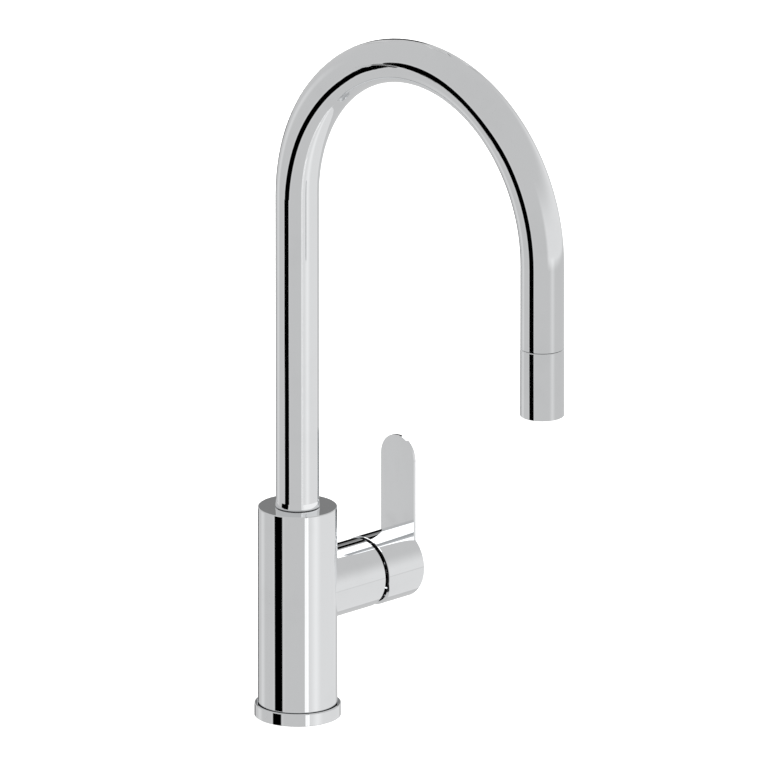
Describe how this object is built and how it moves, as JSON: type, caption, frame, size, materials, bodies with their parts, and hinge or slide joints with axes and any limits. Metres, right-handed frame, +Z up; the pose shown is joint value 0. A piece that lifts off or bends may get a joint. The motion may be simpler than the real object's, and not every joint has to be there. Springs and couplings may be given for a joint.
{
  "type": "pull-down kitchen faucet",
  "caption": "Single-lever kitchen mixer with a side lever, a swivelling gooseneck spout and a pull-down spray head, in polished chrome.",
  "frame": {"origin": "centre of the base on the plane of the deck or worktop", "axes": "+Z up, the spout reaches towards -Y (the user), the lever is on the +X side"},
  "size_m": [0.1175, 0.2566, 0.5401],
  "materials": {
    "chrome": "mirror-polished chrome plate",
    "brass": "machined brass",
    "steel": "zinc-plated steel",
    "dark_plastic": "gloss black moulding",
    "white_plastic": "moulded acetal",
    "grey_plastic": "moulded grey plastic",
    "rubber": "black EPDM",
    "ceramic": "lapped alumina ceramic",
    "hose": "grey braided nylon hose"
  },
  "bodies": {
    "mixer_body": {"base_flange": "chrome", "flange_gasket": "rubber", "mounting_shank": "brass", "deck_rubber_washer": "rubber", "deck_steel_washer": "steel", "mounting_nut": "brass", "nut_lock_screws": "steel", "body_shell": "chrome", "valve_block": "brass", "hose_guide_sleeve": "white_plastic", "cartridge_base": "grey_plastic", "cartridge_port_seals": "rubber", "cartridge_housing": "grey_plastic", "ceramic_disc_fixed": "ceramic", "cartridge_retaining_nut": "brass", "cartridge_dome": "dark_plastic", "spout_lock_screw": "steel", "spray_hose_riser": "hose", "hose_tail_coupling": "brass", "spout_slip_washer": "dark_plastic"},
    "cartridge_turret": {"cartridge_rotor": "white_plastic", "spindle_pin": "steel"},
    "sliding_disc": {"ceramic_disc_moving": "ceramic", "disc_carrier": "white_plastic"},
    "lever": {"lever_handle": "chrome", "lever_grub_screw": "steel", "lever_screw_cover": "grey_plastic", "cartridge_spindle": "brass"},
    "spout": {"spout_tube": "chrome", "spout_foot": "brass", "swivel_bush_upper": "white_plastic", "swivel_bush_lower": "white_plastic", "spout_o_ring": "rubber", "spout_end_bush": "dark_plastic", "spray_hose_arch": "hose"},
    "hose_end": {"spray_hose_drop": "hose", "hose_ferrule": "steel"},
    "spray_head": {"spray_head_shell": "chrome", "head_core": "dark_plastic", "hose_swivel_nut": "brass", "head_inlet_seal": "rubber", "check_valve_body": "white_plastic", "check_valve_spring": "steel", "aerator_housing": "chrome", "aerator_seal": "rubber", "aerator_insert": "dark_plastic"},
    "check_plunger": {"check_valve_poppet": "dark_plastic"}
  },
  "joints": [
    {"name": "spout_swivel", "type": "hinge", "parent": "mixer_body", "child": "spout", "pos_m": [0, 0, 0.1369], "axis": [0, 0, 1], "continuous": true},
    {"name": "head_pull", "type": "slide", "parent": "spout", "child": "hose_end", "axis": [0, 0, -1], "range_m": [0, 0.22], "stiffness_N_per_m": 5, "springref_m": -0.8, "deforming": ["spray_hose_drop"]},
    {"name": "head_spin", "type": "hinge", "parent": "hose_end", "child": "spray_head", "pos_m": [0, -0.2156, 0.2732], "axis": [0, 0, 1], "continuous": true},
    {"name": "valve_lift", "type": "slide", "parent": "spray_head", "child": "check_plunger", "axis": [0, 0, -1], "range_m": [0, 0.002], "stiffness_N_per_m": 60, "springref_m": -0.004, "deforming": ["check_valve_spring"]},
    {"name": "lever_turn", "type": "hinge", "parent": "mixer_body", "child": "cartridge_turret", "pos_m": [0.04, 0, 0.0807], "axis": [1, 0, 0], "range_deg": [-45, 45]},
    {"name": "lever_tilt", "type": "hinge", "parent": "cartridge_turret", "child": "lever", "pos_m": [0.04, 0, 0.0807], "axis": [0, 1, 0], "range_deg": [0, 25]},
    {"name": "disc_slide", "type": "slide", "parent": "cartridge_turret", "child": "sliding_disc", "axis": [0, 0, 1], "range_m": [0, 0.0039]}
  ],
  "couplings": [
    {"joint": "disc_slide", "follows": "lever_tilt", "m_per_rad": 0.0089288}
  ]
}
